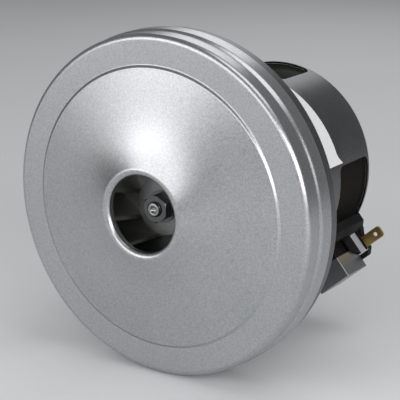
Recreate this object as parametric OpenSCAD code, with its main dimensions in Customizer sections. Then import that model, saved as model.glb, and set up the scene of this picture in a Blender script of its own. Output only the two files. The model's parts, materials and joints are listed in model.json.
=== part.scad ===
// Vacuum cleaner motor unit: a closed fan under a drawn steel cover, bolted to a brushed motor
// in a drawn steel can. The shaft lies along Y, with the intake at -Y and the rear bearing at +Y.
// The origin is on the shaft, in the middle of the plain band of the cover's skirt.

/* [Fan cover] */
// Outside diameter of the cover's skirt
cover_d = 135; // [128:1:142]
// Thickness of the cover's sheet
cover_sheet = 0.8; // [0.6:0.1:1]
// Height of the cover, from the lip of the intake to the edge of the skirt
cover_h = 25.8; // [25:0.2:28]
// Height of the lip above the flat ring of the cover
dome_h = 10.4; // [9.4:0.2:11.4]
// Diameter of the raised dome
dome_d = 108.4; // [104:0.4:112]
// Height of the step round the dome
step_h = 0.9; // [0.5:0.1:1.2]
// Bore of the intake
intake_d = 29.8; // [27:0.2:32]
// Length of the intake's straight wall
intake_l = 1; // [0.6:0.2:2]
// Radius of the rolled lip of the intake
lip_r = 2.1; // [1.6:0.05:2.6]
// Radius of the cover's front corner
corner_r = 2.3; // [1.6:0.1:3]
// Length of the plain band of the skirt
band_l = 6; // [5:0.2:7]
// Length of the joggle in front of the band
joggle_l = 2; // [1.4:0.2:2.6]
// How far the skirt steps out at the joggle
joggle = 0.8; // [0.6:0.1:1.2]

/* [Motor frame] */
// Thickness of the frame's sheet
frame_sheet = 0.9; // [0.7:0.1:1.2]
// Length of the frame's flange that shows behind the cover
flange_l = 6.2; // [5:0.2:8]
// Outside diameter of the can
can_d = 84; // [82:1:90]
// Length of the can behind the flange
can_l = 74.8; // [72:0.4:80]
// Length of the rear bearing boss
boss_l = 12.2; // [11:0.2:14]
// Width of each window round the can, in degrees
window_a = 119; // [105:1:121]
// Length of each window along the can
window_l = 23; // [22:0.5:25]
// Distance from the flange's rear face to the windows
window_from_flange = 47.4; // [46:0.2:48]
// Corner radius of the windows
window_r = 3; // [1:0.5:5]

/* [Fan] */
// Diameter of the impeller
impeller_d = 108; // [104:1:109]
// Thickness of the impeller's discs
disc_sheet = 1; // [0.6:0.1:1.2]
// Width between the discs at the rim
outlet_w = 6.8; // [6:0.2:7.6]
// Number of impeller blades
blades = 9; // [6:1:11]
// Thickness of a blade
blade_t = 0.9; // [0.6:0.1:1.4]
// Radius of the blades' leading edges at the back disc
blade_in_r = 14.5; // [13:0.5:16]
// Running gap in front of and behind the impeller
fan_gap = 1.4; // [1:0.1:1.8]
// Number of diffuser vanes in front
guide_vanes = 17; // [11:2:21]
// Number of return vanes behind the diffuser plate
return_vanes = 12; // [8:1:14]
// Thickness of a vane
vane_t = 1.5; // [1.2:0.1:2]
// Thickness of the diffuser's plate
diffuser_t = 1.6; // [1.2:0.1:2]

/* [Rotor] */
// Shaft diameter
shaft_d = 8; // [7.6:0.1:8.6]
// Diameter of the fan end of the shaft
fan_seat_d = 6; // [5:0.1:6.6]
// Width across flats of the fan nut
nut_af = 10; // [9:0.5:11]
// Height of the fan nut
nut_h = 5; // [4:0.2:6]
// Diameter of the washer under the nut
washer_d = 23; // [21:0.2:25]
// Diameter of the armature core
armature_d = 40.8; // [38:0.2:42]
// Length of the armature core and of the stator core
stack_l = 28; // [24:1:29]
// Length of the windings past the cores
end_turn = 7; // [6:0.5:7.5]
// Number of armature slots, which is the number of commutator bars
slots = 22; // [18:2:24]
// Commutator diameter
comm_d = 24; // [22:0.5:26]
// Commutator length
comm_l = 15; // [14:0.5:16]
// Bearing outside diameter
bearing_d = 22; // [21:0.5:24]
// Bearing width
bearing_w = 7; // [6:0.5:7.5]

/* [Stator] */
// Gap between the armature and the poles
air_gap = 0.6; // [0.4:0.1:1]
// Width across the flats of the stator core
stator_flats = 75; // [72:1:78]
// Width of a pole
pole_w = 26; // [22:1:28]

/* [Brushes] */
// Angle of the brush on the right, from +X towards +Z
brush_a = -49.5; // [-55:0.5:-45]
// Thickness of a brush, round the commutator
brush_t = 6.4; // [5:0.1:7]
// Width of a brush, along the commutator
brush_w = 11; // [9:0.5:12]
// Length of a brush
brush_l = 25; // [20:1:28]
// Wall of the brush tube
tube_wall = 0.8; // [0.5:0.1:1]
// Radius at which the brush cap ends
cap_reach = 58.6; // [57:0.2:60]
// Wall of the brush cap
cap_wall = 0.7; // [0.5:0.1:1]
// Width of the holder's saddle round the can
saddle_w = 34; // [32:1:36]
// Width of the terminal tab
tab_w = 4.8; // [4.2:0.1:6.3]
// Length of the terminal tab outside the holder
tab_l = 10.4; // [8:0.2:12]
// Length of the terminal strip, out from the saddle
strip_l = 9; // [8:0.2:10]

/* [Hidden] */
$fn = 96;

// Radii and stations of the fan cover
cover_r = cover_d / 2;
front_r = cover_r - joggle;
intake_r = intake_d / 2;
edge_y = band_l / 2;
flat_y = edge_y - (cover_h - dome_h);
lip_y = flat_y - dome_h;
lip_slope = 27;
step_w = 0.9;

// Radii and stations of the frame
rim_r = cover_r - cover_sheet;
can_r = can_d / 2;
bore_r = can_r - frame_sheet;
flange_y = edge_y + flange_l;
wall_y = flange_y - frame_sheet;
can_back_y = flange_y + can_l;
end_y = can_back_y + boss_l;
bearing_r = bearing_d / 2;
boss_r = bearing_r + frame_sheet;
boss_hole_r = shaft_d / 2 + 1.5;
flange_fillet = 1.6;
root_fillet = 3;
back_fillet = 4;
boss_fillet = 1.5;
window_y = flange_y + window_from_flange;
brush_y = window_y + window_l / 2 + 1;
pole_a = brush_a + 90;

// Stations of the fan, from the cover back to the bracket
bracket_t = 1.3;
bracket_y = wall_y - bracket_t;
impeller_r = impeller_d / 2;
front_disc_y = flat_y + cover_sheet + fan_gap;
back_disc_y = front_disc_y + disc_sheet + outlet_w;
back_disc_end = back_disc_y + disc_sheet;
plate_y = back_disc_end + fan_gap;
guide_in_r = impeller_r + 1.6;
guide_out_r = front_r - corner_r;
plate_r = guide_in_r + 2.6;
eye_r = intake_r + cover_sheet + disc_sheet + 0.9;
eye_y = lip_y + 2.6;
collar_l = 2.2;
hub_r = 5.5;
hub_flange_r = 9;
hub_front_y = back_disc_y - 4.4;
washer_t = 1.2;
nut_y = hub_front_y - washer_t - nut_h;
shaft_front_y = nut_y - 1.4;

// Stations of the motor, from the brushes forward and from the boss forward
seat_r = fan_seat_d / 2;
shaft_r = shaft_d / 2;
front_bearing_y = bracket_y + 0.6;
washer_gap = 0.8;
rear_bearing_y = end_y - frame_sheet - washer_gap - bearing_w;
comm_r = comm_d / 2;
comm_y = brush_y - comm_l / 2;
stack_y = comm_y - 1.5 - end_turn - stack_l;
armature_r = armature_d / 2;
slot_r = 1.9;
slot_pitch_r = armature_r - slot_r - 2.6;
pole_r = armature_r + air_gap;
shoe_t = 4.4;
yoke_r = stator_flats / 2 - 6;
coil_gap = 0.3;

// Sizes of the brush gear
brush_clear = 0.06;
tip_gap = 0.35;
tube_t = brush_t + 2 * (brush_clear + tube_wall);
tube_w = brush_w + 2 * (brush_clear + tube_wall);
tube_in_r = comm_r + 3.5;
block_t = 15;
block_w = tube_w + 2;
block_end_r = cap_reach - cap_wall;
saddle_t = 2.4;
cap_lift = 5.2;
cap_depth = cap_reach - can_r - saddle_t - cap_lift;
saddle_front_y = window_y - 6;
holder_screw_r = 1.6;
holder_screw_y = window_y - 3;
holder_screw_z = saddle_w / 2 - 5.5;
screw_clear = 0.05;
spring_wire = 0.7;
spring_turns = 8;
spring_r = brush_t / 2 - 0.6;
terminal_t = 0.8;
terminal_y = brush_y + block_w / 2 + cap_wall;
wall_t = 3;
saddle_back_y = terminal_y + terminal_t + wall_t;

// Fasteners of the bracket
screw_r = 2;
screw_head_r = 3.4;
screw_head_h = 2;
screw_tip = 2.4;
screw_ring_r = can_r + 8;

// Points of an arc about c, from angle a0 to angle a1
function arc(c, r, a0, a1, n = 8) = [for (i = [0:n]) let (a = a0 + (a1 - a0) * i / n) c + r * [cos(a), sin(a)]];

// Unit vector along v
function unit(v) = v / norm(v);

// Left-hand normal of the path at point i
function path_normal(p, i) =
    let (a = p[max(i - 1, 0)], b = p[i], c = p[min(i + 1, len(p) - 1)],
         d = unit((i == 0 ? [0, 0] : unit(b - a)) + (i == len(p) - 1 ? [0, 0] : unit(c - b))),
         n = [-d[1], d[0]],
         e = i == 0 ? unit(c - b) : unit(b - a))
    n / (n * [-e[1], e[0]]);

// Outline of a drawn sheet: the path, and back along its inner side
function sheet_outline(p, t) = concat(p, [for (i = [len(p) - 1:-1:0]) p[i] + t * path_normal(p, i)]);

// Smooth rise from 0 to 1
function ease(u) = u * u * (3 - 2 * u);

// Radius of the arc of a blade that meets the circles r1 and r2 at angles b1 and b2
function blade_arc_r(r1, r2, b1, b2) = (r2 * r2 - r1 * r1) / (2 * (r2 * cos(b2) - r1 * cos(b1)));

// Distance of that arc's centre from the shaft
function blade_centre(r2, b2, rb) = sqrt(rb * rb + r2 * r2 - 2 * rb * r2 * cos(b2));

// Angle at which that arc crosses the circle of radius r
function blade_angle(r, rb, rc) = acos((r * r + rc * rc - rb * rb) / (2 * r * rc));

// Height of the dome's outer face at radius r
dome_start = [intake_r + lip_r + lip_r * sin(lip_slope), lip_y + lip_r - lip_r * cos(lip_slope)];
dome_end = [dome_d / 2, flat_y - step_h];
dome_rise = dome_end[1] - dome_start[1];
dome_run = dome_end[0] - dome_start[0];
dome_mix = (4 - tan(lip_slope) * dome_run / dome_rise) / 3;
function dome_y(u) = dome_end[1] - dome_rise * (dome_mix * (1 - u) + (1 - dome_mix) * pow(1 - u, 4));

// Front face of the impeller's front disc at radius r
function shroud_y(r) =
    let (u = (r - eye_r) / (impeller_r - eye_r))
    front_disc_y - (front_disc_y - eye_y - collar_l) * pow(1 - u, 1.5);

// Turn a profile of [radius, station] about the shaft
module spun(points) rotate([-90, 0, 0]) rotate_extrude() polygon(points);

// A plain ring about the shaft
module ring(r_in, r_out, y0, y1) spun([[r_in, y0], [r_out, y0], [r_out, y1], [r_in, y1]]);

// A flat outline in X and Z, from station y0 to station y1
module slab(y0, y1) translate([0, y0, 0]) rotate([-90, 0, 0]) linear_extrude(y1 - y0) mirror([0, 1, 0]) children();

// Copies about the shaft
module around(n, start = 0) for (i = [0:n - 1]) rotate([0, -start - i * 360 / n, 0]) children();

// Turn a piece that points along +X to an angle about the shaft
module at_angle(a) rotate([0, -a, 0]) children();

// A radial pin from radius r0 to radius r1
module radial_pin(r, r0, r1, fn = 96) translate([r0, 0, 0]) rotate([0, 90, 0]) cylinder(r = r, h = r1 - r0, $fn = fn);

// Flat outline of one curved blade between the circles r1 and r2
module blade_outline(r1, r2, b1, b2, t) {
    rb = blade_arc_r(r1, r2, b1, b2);
    rc = blade_centre(r2, b2, rb);
    intersection() {
        translate([rc, 0]) difference() {
            circle(rb + t / 2);
            circle(rb - t / 2);
        }
        difference() {
            circle(r2);
            circle(r1);
        }
        translate([-2 * r2, 0]) square(4 * r2);
    }
}

// The drawn cover: rolled lip, flared dome, step, flat ring, corner, joggle and skirt
module fan_cover() {
    lip_c = [intake_r + lip_r, lip_y + lip_r];
    path = concat(
        [[intake_r, lip_c[1] + intake_l]],
        arc(lip_c, lip_r, 180, 270 + lip_slope, 10),
        [for (i = [1:14]) [dome_start[0] + dome_run * i / 14, dome_y(i / 14)]],
        [[dome_end[0] + step_w, flat_y]],
        arc([front_r - corner_r, flat_y + corner_r], corner_r, -90, 0, 6),
        [for (i = [0:5]) [front_r + joggle * ease(i / 5), -band_l / 2 - joggle_l * (1 - i / 5)]],
        [[cover_r, edge_y]]
    );
    color("silver") spun(sheet_outline(path, cover_sheet));
}

// Cutter for one window of the can: a wide middle, and two ends with rounded corners.
// The middle reaches a little way into the corners, so that no two faces lie in one plane.
module window_cutter() {
    depth = 3 * frame_sheet;
    corner_end = 75;
    half_a = window_a / 2 - asin(window_r / can_r);
    middle_a = half_a + asin(1.2 * window_r * cos(corner_end) / can_r);
    y0 = window_y;
    y1 = window_y + window_l;
    end_outline = concat([[-window_r, y0 + window_r]], arc([0, y0 + window_r], window_r, -corner_end, 0, 4),
                         arc([0, y1 - window_r], window_r, 0, corner_end, 4), [[-window_r, y1 - window_r]]);
    rotate([-90, 0, 0]) rotate([0, 0, -middle_a]) rotate_extrude(angle = 2 * middle_a)
        translate([can_r - depth, y0]) square([2 * depth, window_l]);
    for (side = [0, 1]) mirror([0, 0, side]) at_angle(half_a) translate([can_r - depth, 0, 0])
        rotate([0, 90, 0]) linear_extrude(2 * depth) mirror([1, 0, 0]) polygon(end_outline);
}

// The drawn frame: rim under the skirt, flange, can with two windows, and the boss of the rear bearing
module motor_frame() {
    path = concat(
        [[rim_r, -band_l / 2 + 0.4]],
        arc([rim_r - flange_fillet, flange_y - flange_fillet], flange_fillet, 0, 90, 5),
        arc([can_r + root_fillet, flange_y + root_fillet], root_fillet, 270, 180, 6),
        arc([can_r - back_fillet, can_back_y - back_fillet], back_fillet, 0, 90, 7),
        arc([boss_r + boss_fillet, can_back_y + boss_fillet], boss_fillet, 270, 180, 5),
        arc([boss_r - boss_fillet, end_y - boss_fillet], boss_fillet, 0, 90, 5),
        [[boss_hole_r, end_y]]
    );
    color("dimgray") difference() {
        spun(sheet_outline(path, frame_sheet));
        for (a = [brush_a, brush_a + 180]) at_angle(a) window_cutter();
        around(4, screw_a) translate([screw_ring_r, wall_y - 1, 0]) rotate([-90, 0, 0])
            cylinder(r = screw_r + screw_clear, h = frame_sheet + 2);
        for (a = [brush_a, brush_a + 180]) at_angle(a) holder_screw_holes();
    }
}

// Holes for the two screws of one brush holder
module holder_screw_holes()
    for (z = [-1, 1]) translate([0, holder_screw_y, z * holder_screw_z])
        radial_pin(holder_screw_r + screw_clear, can_r - 10, can_r + 12);

// Angle of the bracket's screws, midway between two return vanes
return_in_r = can_r + 2;
return_b = 35;
return_rb = blade_arc_r(return_in_r, guide_out_r, return_b, return_b);
return_rc = blade_centre(guide_out_r, return_b, return_rb);
return_step = 360 / return_vanes;
screw_a = blade_angle(screw_ring_r, return_rb, return_rc) + return_step / 2;

// The stamped bridge that carries the front bearing across the mouth of the can
module front_bracket() {
    arm_w = 14;
    cup_r = bearing_r + bracket_t;
    cup_end = front_bearing_y + bearing_w + 0.1;
    color("lightgray") difference() {
        union() {
            slab(bracket_y, wall_y) difference() {
                union() {
                    difference() {
                        circle(screw_ring_r + 6);
                        circle(bore_r - 2);
                    }
                    for (a = [0, 90]) rotate(screw_a + a) square([2 * can_r, arm_w], center = true);
                }
                circle(bearing_r);
            }
            ring(bearing_r, cup_r, bracket_y, cup_end + bracket_t);
            ring(shaft_r + 3, cup_r, cup_end, cup_end + bracket_t);
        }
        around(4, screw_a) translate([screw_ring_r, bracket_y - 1, 0]) rotate([-90, 0, 0])
            cylinder(r = screw_r + screw_clear, h = bracket_t + 2);
    }
}

// Four pan-head screws that hold the bracket to the flange
module bracket_screws() {
    color("gainsboro") around(4, screw_a) translate([screw_ring_r, 0, 0])
        difference() {
            spun([[0, bracket_y - screw_head_h], [screw_head_r - 0.8, bracket_y - screw_head_h],
                  [screw_head_r, bracket_y - screw_head_h + 0.8], [screw_head_r, bracket_y],
                  [screw_r, bracket_y], [screw_r, flange_y + screw_tip - 0.6],
                  [screw_r - 0.6, flange_y + screw_tip], [0, flange_y + screw_tip]]);
            for (a = [0, 90]) rotate([0, a, 0]) translate([0, bracket_y - screw_head_h, 0])
                cube([3.6, 2, 0.9], center = true);
        }
}

// The plastic guide wheel: guide vanes round the impeller, and return vanes behind its plate
module diffuser() {
    guide_b = 20;
    color("#202224") union() {
        slab(plate_y, plate_y + diffuser_t) difference() {
            circle(plate_r);
            circle(hub_flange_r + 1.5);
        }
        slab(flat_y + cover_sheet, plate_y) for (i = [0:guide_vanes - 1]) rotate(i * 360 / guide_vanes)
            blade_outline(guide_in_r, guide_out_r, guide_b, guide_b, vane_t);
        slab(plate_y + diffuser_t, bracket_y) for (i = [0:return_vanes - 1]) rotate(i * return_step)
            blade_outline(return_in_r, guide_out_r, return_b, return_b, vane_t);
    }
}

// Stations of the impeller's front disc, from the eye to the rim
shroud = [for (i = [0:10]) let (r = eye_r + (impeller_r - eye_r) * i / 10) [r, shroud_y(r)]];

// The flared front disc with the collar of its eye
module impeller_front_disc() {
    path = concat([[eye_r, eye_y]], shroud);
    color("gainsboro") spun(sheet_outline(path, disc_sheet));
}

// The flat back disc, riveted to the hub
module impeller_back_disc() {
    color("gainsboro") ring(hub_r, impeller_r, back_disc_y, back_disc_end);
}

// Backward curved blades, trimmed to the front disc, with slanted leading edges
module impeller_blades() {
    inlet_b = 32;
    outlet_b = 45;
    blade_out_r = impeller_r - 0.5;
    eye_blade_a = 195;
    arc_r = blade_arc_r(blade_in_r, blade_out_r, inlet_b, outlet_b);
    first_a = eye_blade_a - blade_angle(eye_r, arc_r, blade_centre(blade_out_r, outlet_b, arc_r));
    rear_face = [for (i = [0:10]) shroud[i] + disc_sheet * path_normal(concat([[eye_r, eye_y]], shroud), i + 1)];
    under = concat([[blade_in_r, back_disc_y]], rear_face,
                   [[impeller_r + 1, rear_face[10][1]], [impeller_r + 1, back_disc_y]]);
    color("gainsboro") intersection() {
        slab(eye_y, back_disc_y) for (i = [0:blades - 1]) rotate(first_a + i * 360 / blades)
            blade_outline(blade_in_r, blade_out_r, inlet_b, outlet_b, blade_t);
        spun(under);
    }
}

// The flanged bush that the back disc is riveted to
module impeller_hub() {
    hub_flange_t = 1.2;
    color("silver") spun([[seat_r, hub_front_y], [hub_r + 1, hub_front_y], [hub_flange_r, back_disc_y - hub_flange_t],
                          [hub_flange_r, back_disc_y], [hub_r, back_disc_y], [hub_r, back_disc_end],
                          [seat_r, back_disc_end]]);
}

// The sleeve between the hub and the front bearing
module fan_spacer() color("silver") ring(shaft_r, shaft_r + 2.2, back_disc_end, front_bearing_y);

// The plain washer under the nut
module fan_washer() color("silver") ring(seat_r, washer_d / 2, hub_front_y - washer_t, hub_front_y);

// The flanged hex nut that clamps the fan
module fan_nut() {
    flange_t = 1.2;
    chamfer = 0.7;
    hex_r = nut_af / 2 / cos(30);
    nut_end = hub_front_y - washer_t;
    color("silver") difference() {
        union() {
            ring(0, hex_r + 0.5, nut_end - flange_t, nut_end);
            intersection() {
                translate([0, nut_y, 0]) rotate([-90, 30, 0]) cylinder(r = hex_r, h = nut_h, $fn = 6);
                spun([[0, nut_y], [hex_r - chamfer, nut_y], [hex_r + 0.1, nut_y + chamfer], [hex_r + 0.1, nut_end],
                      [0, nut_end]]);
            }
        }
        translate([0, nut_y - 1, 0]) rotate([-90, 0, 0]) cylinder(r = seat_r, h = nut_h + 2);
    }
}

// The stepped shaft, with a centre hole in its fan end
module shaft() {
    chamfer = 0.5;
    drill_r = 1.4;
    color("silver") spun([[0, shaft_front_y + 2 * drill_r], [drill_r, shaft_front_y],
                          [seat_r - chamfer, shaft_front_y], [seat_r, shaft_front_y + chamfer],
                          [seat_r, back_disc_end], [shaft_r, back_disc_end],
                          [shaft_r, end_y - frame_sheet - chamfer], [shaft_r - chamfer, end_y - frame_sheet],
                          [0, end_y - frame_sheet]]);
}

// Sizes of the balls and their track, from the bearing's two diameters
ball_pitch_r = (bearing_r + shaft_r) / 2;
ball_r = (bearing_r - shaft_r) * 0.28;
track_clear = 0.05;
land = (bearing_r - shaft_r) * 0.25;

// One grooved race between the radii r_in and r_out
module race(r_in, r_out, y) {
    rotate([-90, 0, 0]) rotate_extrude() difference() {
        translate([r_in, y]) square([r_out - r_in, bearing_w]);
        translate([ball_pitch_r, y + bearing_w / 2]) circle(ball_r + track_clear);
    }
}
module outer_race(y) color("silver") race(bearing_r - land, bearing_r, y);
module inner_race(y) color("silver") race(shaft_r, shaft_r + land, y);
module balls(y) color("gainsboro") around(7) translate([ball_pitch_r, y + bearing_w / 2, 0]) sphere(ball_r);

module front_bearing_outer_race() outer_race(front_bearing_y);
module front_bearing_inner_race() inner_race(front_bearing_y);
module front_bearing_balls() balls(front_bearing_y);
module rear_bearing_outer_race() outer_race(rear_bearing_y);
module rear_bearing_inner_race() inner_race(rear_bearing_y);
module rear_bearing_balls() balls(rear_bearing_y);

// The spring washer that loads the rear bearing
module bearing_preload_washer()
    color("silver") ring(bearing_r - land, boss_r - boss_fillet - 0.2, rear_bearing_y + bearing_w,
                         end_y - frame_sheet);

// Round slots with narrow mouths
module armature_core() {
    mouth = 1.6;
    color("dimgray") slab(stack_y, stack_y + stack_l) difference() {
        circle(armature_r);
        circle(shaft_r);
        for (i = [0:slots - 1]) rotate(i * 360 / slots) {
            translate([slot_pitch_r, 0]) circle(slot_r);
            translate([slot_pitch_r, -mouth / 2]) square([armature_r, mouth]);
        }
    }
}

// Wire bundles in the slots, and the rounded end turns at both ends
module armature_windings() {
    turn_r = slot_pitch_r + slot_r;
    core_r = shaft_r + 1.5;
    front = stack_y - end_turn;
    back = stack_y + stack_l;
    color("#8c4a22") union() {
        spun(concat([[core_r, stack_y]], [[turn_r, stack_y]], arc([turn_r - 4, front + 4], 4, 0, -90, 5),
                    [[core_r + 2, front], [core_r, front + 2]]));
        spun(concat([[core_r, back], [core_r, back + end_turn - 0.6]],
                    [[comm_r - 1, back + end_turn]], arc([turn_r - 4, back + end_turn - 4], 4, 90, 0, 5),
                    [[turn_r, back]]));
        around(slots) translate([slot_pitch_r, stack_y, 0]) rotate([-90, 0, 0])
            cylinder(r = slot_r - 0.1, h = stack_l);
    }
}

// The moulded sleeve of the commutator
comm_sleeve_r = comm_r - 3.8;
module commutator_hub() color("#6b3a1e") ring(shaft_r, comm_sleeve_r, comm_y, comm_y + comm_l + 1);

// Copper bars with raised ends, a narrow slit apart
module commutator_bars() {
    slit_a = 2.4;
    riser_h = 1.6;
    riser_w = 1.6;
    color("peru") around(slots) rotate([-90, 0, 0]) rotate_extrude(angle = 360 / slots - slit_a)
        polygon([[comm_sleeve_r, comm_y], [comm_r + riser_h, comm_y], [comm_r + riser_h, comm_y + riser_w],
                 [comm_r, comm_y + riser_w], [comm_r, comm_y + comm_l], [comm_sleeve_r, comm_y + comm_l]]);
}

// Two-pole lamination stack, flat on two sides so that air passes by
module stator_core() {
    shoe_a = 62;
    color("gray") slab(stack_y, stack_y + stack_l) rotate(pole_a) difference() {
        intersection() {
            circle(bore_r);
            square([2 * can_r, stator_flats], center = true);
        }
        difference() {
            circle(yoke_r);
            for (side = [0, 180]) rotate(side) {
                translate([0, -pole_w / 2]) square([yoke_r + 1, pole_w]);
                intersection() {
                    circle(pole_r + shoe_t);
                    polygon([[0, 0], 3 * yoke_r * [cos(shoe_a), -sin(shoe_a)], [3 * yoke_r, 0],
                             3 * yoke_r * [cos(shoe_a), sin(shoe_a)]]);
                }
            }
        }
        circle(pole_r);
    }
}

// One coil: a curved frame of wire round its pole
module field_coil(a) {
    coil_in_r = pole_r + shoe_t + coil_gap;
    coil_out_r = yoke_r - coil_gap;
    coil_a = 2 * 46;
    color("#9a5226") at_angle(a) difference() {
        rotate([-90, 0, 0]) rotate([0, 0, -coil_a / 2]) rotate_extrude(angle = coil_a)
            translate([coil_in_r, stack_y - end_turn]) square([coil_out_r - coil_in_r, stack_l + 2 * end_turn]);
        translate([coil_in_r - 6, stack_y - coil_gap, -pole_w / 2 - coil_gap])
            cube([coil_out_r, stack_l + 2 * coil_gap, pole_w + 2 * coil_gap]);
    }
}
module field_coil_upper() field_coil(pole_a);
module field_coil_lower() field_coil(pole_a + 180);

// The moulded holder: a saddle on the can, a block through the window, and the terminal's wall, gusset and rib
module brush_holder() {
    wall_r = cap_reach - 3.2;
    wall_chamfer = 2.4;
    wall_low = -9;
    wall_high = 13;
    slope = 2.5;
    saddle_depth = 7;
    gusset_l = 6;
    gusset_t = 0.8;
    gusset_gap = 0.3;
    rib_w = 0.75;
    rib_h = 0.5;
    rib_lift = 0.2;
    block_in_r = tube_in_r + 16;
    saddle_top = can_r + saddle_t;
    color("#1a1b1d") difference() {
        union() {
            slab(saddle_front_y, saddle_back_y) polygon([
                [can_r - saddle_depth, -saddle_w / 2], [can_r, -saddle_w / 2], [saddle_top, slope - saddle_w / 2],
                [saddle_top, saddle_w / 2 - slope], [can_r, saddle_w / 2], [can_r - saddle_depth, saddle_w / 2]
            ]);
            translate([block_in_r, brush_y - block_w / 2, -block_t / 2])
                cube([block_end_r - block_in_r, block_w, block_t]);
            slab(saddle_back_y - wall_t, saddle_back_y) polygon([
                [can_r, wall_low], [wall_r - wall_chamfer, wall_low], [wall_r, wall_low + wall_chamfer],
                [wall_r, wall_high - wall_chamfer], [wall_r - wall_chamfer, wall_high],
                [saddle_top + slope, wall_high + 0.5], [saddle_top, wall_high + 2], [can_r, wall_high + 2]
            ]);
            slab(terminal_y - rib_h, terminal_y) translate([can_r, wall_high + rib_lift - rib_w])
                square([wall_r - wall_chamfer - can_r, rib_w]);
            translate([0, 0, block_t / 2 + cap_wall + gusset_gap]) linear_extrude(gusset_t) polygon([
                [can_r + 1, terminal_y], [can_r + 1, terminal_y - gusset_l],
                [saddle_top + cap_lift, terminal_y - gusset_l], [wall_r - wall_chamfer, terminal_y - rib_h],
                [wall_r - wall_chamfer, terminal_y]
            ]);
        }
        difference() {
            ring(0, can_r, saddle_front_y - 1, saddle_back_y + 1);
            translate([block_in_r, brush_y - block_w / 2, -block_t / 2]) cube([can_r, block_w, block_t]);
        }
        translate([0, brush_y - tube_w / 2, -tube_t / 2]) cube([2 * cap_reach, tube_w, tube_t]);
        holder_screw_holes();
    }
}

// The metal tube that guides the brush
module brush_tube() {
    color("#c9b98a") difference() {
        translate([tube_in_r, brush_y - tube_w / 2, -tube_t / 2]) cube([block_end_r - tube_in_r, tube_w, tube_t]);
        translate([0, brush_y - brush_w / 2 - brush_clear, -brush_t / 2 - brush_clear])
            cube([2 * cap_reach, brush_w + 2 * brush_clear, brush_t + 2 * brush_clear]);
    }
}

// The sheet cap over the outer end of the block, which backs the spring
module brush_cap() {
    out_t = block_t + 2 * cap_wall;
    out_w = block_w + 2 * cap_wall;
    color("gainsboro") difference() {
        translate([cap_reach - cap_depth, brush_y - out_w / 2, -out_t / 2]) cube([cap_depth, out_w, out_t]);
        translate([cap_reach - cap_depth - 1, brush_y - block_w / 2, -block_t / 2])
            cube([cap_depth + 1 - cap_wall, block_w, block_t]);
    }
}

// The carbon block, hollowed at its tip to run on the commutator
module carbon_brush() {
    color("#2b2b2d") difference() {
        translate([comm_r - 2, brush_y - brush_w / 2, -brush_t / 2]) cube([brush_l + 2, brush_w, brush_t]);
        ring(0, comm_r + tip_gap, brush_y - brush_w, brush_y + brush_w);
    }
}

// Points of the spring's axis, from the brush to the cap
spring_start = comm_r + brush_l + spring_wire;
spring_end = block_end_r - spring_wire;
spring_rings = spring_turns * 8;
function spring_point(i) =
    let (a = 360 * spring_turns * i / spring_rings)
    [spring_start + (spring_end - spring_start) * i / spring_rings, spring_r * cos(a), spring_r * sin(a)];
spring_gap = (spring_end - spring_start) / spring_turns - spring_wire;
echo(spring_gap = spring_gap);

// One unbroken wound wire of six sides
module brush_spring() {
    sides = 6;
    last = spring_rings;
    function ring_points(i) =
        let (t = unit(spring_point(min(i + 1, last)) - spring_point(max(i - 1, 0))),
             u = unit(cross(t, [1, 0, 0])), v = cross(t, u))
        [for (k = [0:sides - 1]) let (a = 360 * k / sides)
            spring_point(i) + spring_wire / 2 * (cos(a) * u + sin(a) * v)];
    points = [for (i = [0:last]) each ring_points(i)];
    walls = [for (i = [0:last - 1], k = [0:sides - 1])
        let (a = i * sides + k, b = i * sides + (k + 1) % sides)
        each [[a, a + sides, b], [b, a + sides, b + sides]]];
    first_end = [for (k = [1:sides - 2]) [0, k, k + 1]];
    last_end = [for (k = [1:sides - 2]) [last * sides, last * sides + k + 1, last * sides + k]];
    color("silver") translate([0, brush_y, 0]) polyhedron(points, concat(walls, first_end, last_end));
}

// The terminal strip beside the block, with its tab and the tab's hole
module terminal() {
    strip_in_r = can_r + saddle_t;
    strip_end = 13;
    tab_inset = 3.4;
    hole_inset = 3.4;
    tab_r = strip_in_r + strip_l - tab_inset;
    color("darkgoldenrod") slab(terminal_y, terminal_y + terminal_t) difference() {
        union() {
            translate([strip_in_r, -block_t / 2 + 2]) square([strip_l, strip_end + block_t / 2 - 2]);
            translate([tab_r - tab_w / 2, strip_end - 1]) square([tab_w, tab_l + 1 - tab_w / 4]);
            translate([tab_r - tab_w / 4, strip_end - 1]) square([tab_w / 2, tab_l + 1]);
            for (x = [-1, 1]) translate([tab_r + x * tab_w / 4, strip_end + tab_l - tab_w / 4]) circle(tab_w / 4);
        }
        translate([tab_r, strip_end + tab_l - hole_inset]) circle(0.9);
    }
}

// Screws of one holder
module holder_screw_pair() {
    head_r = 2.9;
    head_h = 1.9;
    tip_r = stator_flats / 2 + 0.5;
    for (z = [-1, 1]) translate([0, holder_screw_y, z * holder_screw_z]) difference() {
        union() {
            radial_pin(holder_screw_r, tip_r, can_r + saddle_t);
            radial_pin(head_r, can_r + saddle_t, can_r + saddle_t + head_h);
        }
        for (a = [0, 90]) rotate([a, 0, 0]) translate([can_r + saddle_t + head_h, 0, 0])
            cube([1.8, 3, 0.8], center = true);
    }
}

module brush_holder_right() at_angle(brush_a) brush_holder();
module brush_holder_left() at_angle(brush_a + 180) brush_holder();
module brush_tube_right() at_angle(brush_a) brush_tube();
module brush_tube_left() at_angle(brush_a + 180) brush_tube();
module brush_cap_right() at_angle(brush_a) brush_cap();
module brush_cap_left() at_angle(brush_a + 180) brush_cap();
module carbon_brush_right() at_angle(brush_a) carbon_brush();
module carbon_brush_left() at_angle(brush_a + 180) carbon_brush();
module brush_spring_right() at_angle(brush_a) brush_spring();
module brush_spring_left() at_angle(brush_a + 180) brush_spring();
module terminal_right() at_angle(brush_a) terminal();
module terminal_left() at_angle(brush_a + 180) terminal();
module holder_screws() color("gainsboro") for (a = [brush_a, brush_a + 180]) at_angle(a) holder_screw_pair();

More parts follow.
